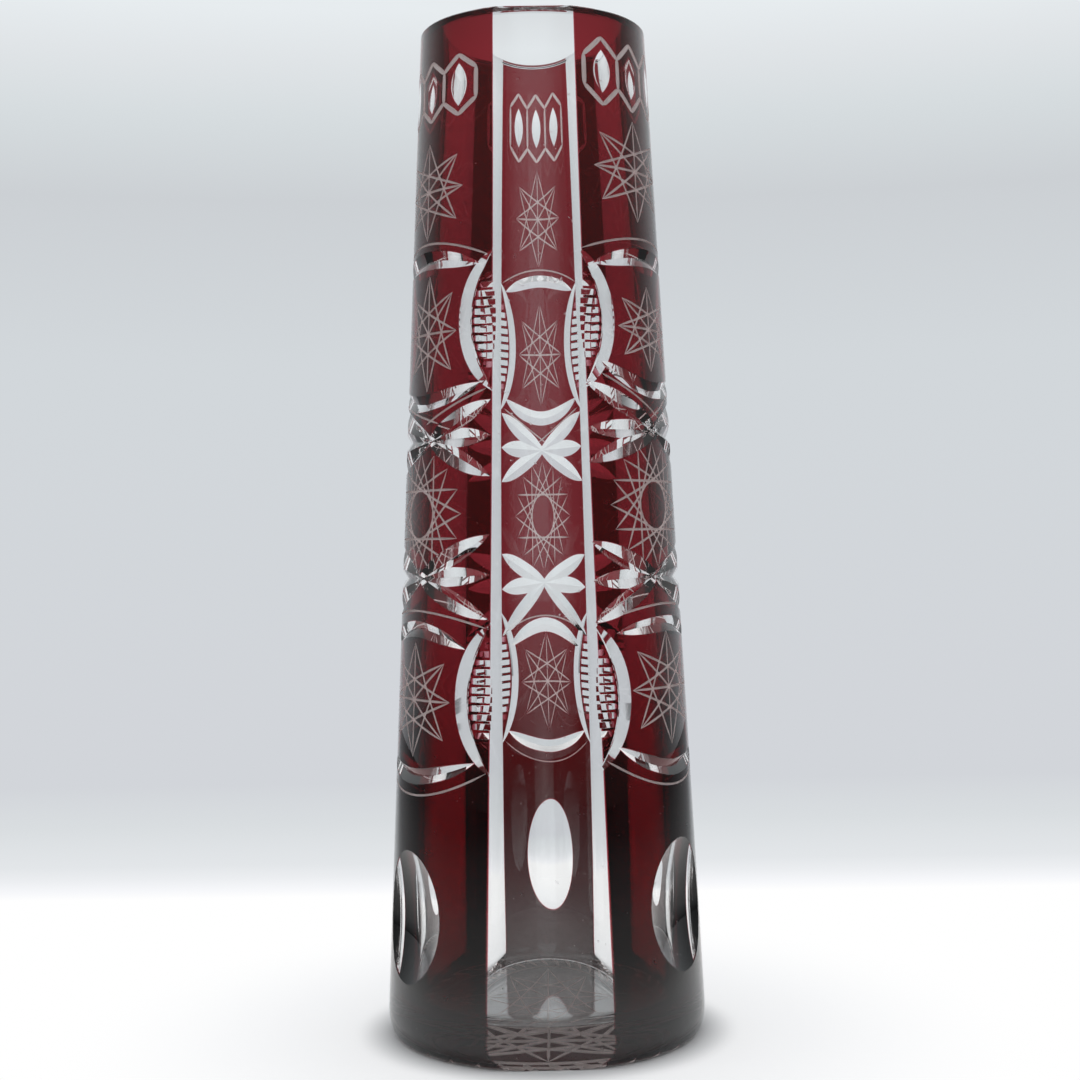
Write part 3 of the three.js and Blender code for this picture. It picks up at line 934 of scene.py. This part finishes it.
def frosted_material():
    """The grey of a fine cut that was left unpolished."""
    mat, tree, out, where = node_material("frosted_cut")
    grain = noise(tree, where, 260.0, 3.0)
    tint = blend(tree, grain, (0.8, 0.66, 0.64, 1), (1.0, 0.92, 0.9, 1))
    matte = tree.nodes.new("ShaderNodeBsdfPrincipled")
    matte.inputs["IOR"].default_value = 1.3
    tree.links.new(spread(tree, grain, 0.0, 1.0, bottom=0.45, top=0.7), matte.inputs["Roughness"])
    tree.links.new(tint, matte.inputs["Base Color"])
    glow = tree.nodes.new("ShaderNodeBsdfTranslucent")
    tree.links.new(tint, glow.inputs["Color"])
    mix = tree.nodes.new("ShaderNodeMixShader")
    mix.inputs["Fac"].default_value = 0.62
    tree.links.new(matte.outputs["BSDF"], mix.inputs[1])
    tree.links.new(glow.outputs["BSDF"], mix.inputs[2])
    tree.links.new(mix.outputs["Shader"], out.inputs["Surface"])
    return mat


def ruby_material():
    """A film of ruby glass: it only absorbs, and its tint is a little uneven."""
    mat, tree, out, where = node_material("ruby")
    film = tree.nodes.new("ShaderNodeBsdfTransparent")
    tint = blend(tree, noise(tree, where, 40.0, 4.0), (1.0, 0.9, 0.92, 1), (0.9, 0.78, 0.8, 1))
    tree.links.new(tint, film.inputs["Color"])
    tree.links.new(film.outputs["BSDF"], out.inputs["Surface"])
    depth = tree.nodes.new("ShaderNodeVolumeAbsorption")
    depth.inputs["Color"].default_value = (0.66, 0.0, 0.1, 1)
    depth.inputs["Density"].default_value = 36000.0
    tree.links.new(depth.outputs["Volume"], out.inputs["Volume"])
    return mat


crystal, frosted, ruby = crystal_material(), frosted_material(), ruby_material()


# The vase

def crystal_body():
    """The clear glass: turned, bored, ground flat on three sides and cut on each panel."""
    body = turned("crystal_body", outer_profile())
    cutters = flat_blocks() + foot_star() + foot_hatches() + foot_rings()
    cutters.append(turned("bore", bore_profile()))
    for shape in PANELS.values():
        cuts = panel_cuts(shape, 0.0)
        pattern = combined(cuts[0], cuts[1:], "UNION")
        pattern.data.transform(Matrix.Rotation(shape["turn"] * THIRD, 4, "Z"))
        cutters.append(pattern)
    body = combined(body, cutters, "DIFFERENCE")
    polished(body, BODY_SHARP)
    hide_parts("clear_body")
    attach(body, "root")


def ruby_panel(place, shape):
    """One panel of the casing: a third of a turned film, cut as the glass below it is."""
    panel = turned(f"ruby_{place}", casing_profile(shape["ruby"]), closed=True)
    panel = combined(panel, flat_blocks(RUBY_INSET, shape["turn"]), "DIFFERENCE")
    bm = bmesh.new()
    bm.from_mesh(panel.data)
    away = [v for v in bm.verts if abs(math.atan2(v.co.y, v.co.x)) > THIRD / 2]
    bmesh.ops.delete(bm, geom=away, context="VERTS")
    bm.to_mesh(panel.data)
    bm.free()
    panel = combined(panel, panel_cuts(shape, RUBY_INSET), "DIFFERENCE")
    polished(panel, RUBY_SHARP, shape["turn"])
    panel.data.transform(Matrix.Rotation(shape["turn"] * THIRD, 4, "Z"))
    panel.data.materials.clear()
    panel.data.materials.append(ruby)
    names = [n for n in frame["nodes"] if n.startswith(f"{place}_")]
    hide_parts(*names)
    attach(panel, "root")


# Surroundings, in metres

TABLE_RADIUS = 0.9
TABLE_SIDES = 96
TABLE_DROP = 0.0002
# The table's brightness by how far behind the vase it is. Elsewhere, the distance from the vase
# counts by the share after it.
TABLE = (
    (0.165, (255, 255, 255)), (0.178, (247, 248, 251)), (0.2, (236, 238, 241)),
    (0.226, (227, 230, 233)), (0.321, (217, 221, 224)), (0.448, (210, 213, 218)),
    (TABLE_RADIUS, (210, 213, 218)),
)
TABLE_ELSEWHERE = 0.6
# Distances from the axis: where the painted shadow at the foot ends (the table's glow is held
# back inside it), and where the table stops taking shadows. Then the table's own glow outside the
# foot, and the painted light under the foot that matte cuts get of it.
PAINTED_FOOT_SHADOW = (0.038, 0.05)
SHADOWLESS = (0.06, 0.125)
NEAR_GLOW = 0.42
FOOT_GLOW = 0.06
# The wedge of table behind the vase that the glass reflects in full: where it starts before the
# vase, and its half width per length. Brightness falls outside it, and ahead of the vase.
WEDGE_START = 0.438
WEDGE_SLOPE = 0.32
WEDGE_RANGE = (-0.1, 0.5)
WEDGE_LIGHT = ((0.0, 1.0), (0.1, 0.9), (0.17, 0.62), (0.27, 0.45), (0.6, 0.3), (1.0, 0.15))
AHEAD_RANGE = (-0.9, -0.1)
AHEAD_LIGHT = ((0.0, 0.15), (0.3, 0.5), (0.6, 0.9), (0.8, 1.0))

# The backdrop's colour by the height of the direction
BACKDROP = (
    (-1.0, (210, 213, 218)), (-0.1, (210, 213, 218)),
    (0.105, (210, 215, 219)), (0.196, (204, 208, 212)), (0.239, (214, 220, 223)),
    (0.271, (224, 228, 231)), (0.297, (231, 236, 239)), (1.0, (240, 243, 245)),
)
# The darker room in front of the backdrop: brightness by height, as the glass reflects it
ROOM = ((-1.0, 0.1), (0.0, 0.1), (0.17, 0.13), (0.35, 0.22), (0.7, 0.7), (1.0, 0.9))
# Directions by Y: where the room gives way to the backdrop, and where the glass shows it through
BACKDROP_FROM = (-0.05, 0.9)
THROUGH_FROM = (-0.55, -0.9)

# The camera fitted to the photo: its focal length is in pixels of the picture's width
FOCAL_PIXELS = 1703
PICTURE_PIXELS = 1080
SENSOR_WIDTH = 36.0
CAMERA_PLACE = (0.0, -0.4383, 0.1249)
CAMERA_ROLL = -0.87


def table_light(tree, x, y):
    """1 where the camera looks. What the glass reflects of the table is darker to the sides."""
    away = maths(tree, "MAXIMUM", maths(tree, "ADD", y, WEDGE_START), 0.0)
    wedge = maths(tree, "MULTIPLY", away, WEDGE_SLOPE)
    outside = maths(tree, "SUBTRACT", maths(tree, "ABSOLUTE", x, 0.0), wedge)
    side = ramp(tree, spread(tree, outside, *WEDGE_RANGE), greys(WEDGE_LIGHT))
    ahead = ramp(tree, spread(tree, y, *AHEAD_RANGE), greys(AHEAD_LIGHT))
    light = maths(tree, "MULTIPLY", side, ahead)
    path = tree.nodes.new("ShaderNodeLightPath")
    return maths(tree, "MAXIMUM", light, path.outputs["Is Camera Ray"])


def floor_material():
    """White paper with a glow of its own near the vase, held back round the foot as a painted
    shadow, and only light further off.
    """
    mat, tree, out, where = node_material("floor")
    split = tree.nodes.new("ShaderNodeSeparateXYZ")
    tree.links.new(where, split.inputs[0])
    x, y = split.outputs["X"], split.outputs["Y"]
    length = tree.nodes.new("ShaderNodeVectorMath")
    length.operation = "LENGTH"
    tree.links.new(where, length.inputs[0])
    distance = length.outputs["Value"]

    paper = tree.nodes.new("ShaderNodeBsdfDiffuse")
    paper.inputs["Color"].default_value = (0.65, 0.65, 0.65, 1)
    glow = tree.nodes.new("ShaderNodeEmission")
    path = tree.nodes.new("ShaderNodeLightPath")
    # Painted light: under the foot the table glows for diffuse rays only, which lights the matte
    # cuts from below
    for_cuts = maths(tree, "MULTIPLY", path.outputs["Is Diffuse Ray"], FOOT_GLOW)
    # Painted shadow: the glow fades out towards the foot, which darkens a ring of table round it
    outside = spread(tree, distance, *PAINTED_FOOT_SHADOW, kind="SMOOTHSTEP", top=NEAR_GLOW)
    tree.links.new(maths(tree, "MAXIMUM", outside, for_cuts), glow.inputs["Strength"])
    near = tree.nodes.new("ShaderNodeAddShader")
    tree.links.new(paper.outputs["BSDF"], near.inputs[0])
    tree.links.new(glow.outputs["Emission"], near.inputs[1])

    elsewhere = maths(tree, "MULTIPLY", distance, TABLE_ELSEWHERE)
    back = spread(tree, maths(tree, "MAXIMUM", y, elsewhere), 0.0, TABLE_RADIUS)
    tone = ramp(tree, back, [(place / TABLE_RADIUS, linear(*c)) for place, c in TABLE])
    far = tree.nodes.new("ShaderNodeEmission")
    tree.links.new(tone, far.inputs["Color"])
    tree.links.new(table_light(tree, x, y), far.inputs["Strength"])

    mix = tree.nodes.new("ShaderNodeMixShader")
    tree.links.new(spread(tree, distance, *SHADOWLESS, kind="SMOOTHSTEP"), mix.inputs["Fac"])
    tree.links.new(near.outputs["Shader"], mix.inputs[1])
    tree.links.new(far.outputs["Emission"], mix.inputs[2])
    tree.links.new(mix.outputs["Shader"], out.inputs["Surface"])
    return mat


def floor():
    """A white table top. Near the vase it takes shadows, with a painted shadow round the foot, and
    further off it only shows white.
    """
    bm = bmesh.new()
    bmesh.ops.create_circle(bm, cap_ends=True, segments=TABLE_SIDES, radius=TABLE_RADIUS)
    mesh = bpy.data.meshes.new("floor")
    bm.to_mesh(mesh)
    bm.free()
    mesh.materials.append(floor_material())
    obj = bpy.data.objects.new("floor", mesh)
    bpy.context.scene.collection.objects.link(obj)
    obj.location.z = -TABLE_DROP


def world():
    """The backdrop for the camera, the room as the glass reflects it, and even light on paper."""
    studio = bpy.data.worlds.new("studio")
    bpy.context.scene.world = studio
    studio.use_nodes = True
    tree = studio.node_tree
    tree.nodes.clear()
    where = tree.nodes.new("ShaderNodeTexCoord")
    split = tree.nodes.new("ShaderNodeSeparateXYZ")
    tree.links.new(where.outputs["Generated"], split.inputs[0])
    path = tree.nodes.new("ShaderNodeLightPath")

    height = spread(tree, split.outputs["Z"], -1.0, 1.0)
    backdrop = ramp(tree, height, [((z + 1) / 2, linear(*c)) for z, c in BACKDROP])
    room = ramp(tree, height, greys([((z + 1) / 2, value) for z, value in ROOM]))
    behind = spread(tree, split.outputs["Y"], *BACKDROP_FROM, kind="SMOOTHSTEP")
    front = spread(tree, split.outputs["Y"], *THROUGH_FROM, kind="SMOOTHSTEP")
    through_glass = maths(tree, "MULTIPLY", front, path.outputs["Is Transmission Ray"])
    around = blend(tree, behind, room, backdrop)
    around = blend(tree, through_glass, around, backdrop)
    seen = blend(tree, path.outputs["Is Camera Ray"], around, backdrop)

    shown = tree.nodes.new("ShaderNodeBackground")
    tree.links.new(seen, shown.inputs["Color"])
    light = tree.nodes.new("ShaderNodeBackground")
    light.inputs["Color"].default_value = (0.95, 0.97, 1.0, 1)
    light.inputs["Strength"].default_value = 1.0
    mix = tree.nodes.new("ShaderNodeMixShader")
    tree.links.new(path.outputs["Is Diffuse Ray"], mix.inputs["Fac"])
    tree.links.new(shown.outputs["Background"], mix.inputs[1])
    tree.links.new(light.outputs["Background"], mix.inputs[2])
    out = tree.nodes.new("ShaderNodeOutputWorld")
    tree.links.new(mix.outputs["Shader"], out.inputs["Surface"])


def camera():
    data = bpy.data.cameras.new("camera")
    data.sensor_width = SENSOR_WIDTH
    data.lens = FOCAL_PIXELS / PICTURE_PIXELS * SENSOR_WIDTH
    data.clip_start = 0.01
    data.clip_end = 20.0
    obj = bpy.data.objects.new("camera", data)
    bpy.context.scene.collection.objects.link(obj)
    level = Matrix.Rotation(math.radians(90), 4, "X")
    roll = Matrix.Rotation(math.radians(CAMERA_ROLL), 4, "Z")
    obj.matrix_world = Matrix.Translation(CAMERA_PLACE) @ level @ roll
    bpy.context.scene.camera = obj


crystal_body()
for place, shape in PANELS.items():
    ruby_panel(place, shape)
floor()
world()
camera()
scene = bpy.context.scene
scene.view_settings.view_transform = "Standard"
scene.cycles.max_bounces = 24
scene.cycles.transmission_bounces = 24
scene.cycles.glossy_bounces = 16
scene.cycles.transparent_max_bounces = 48
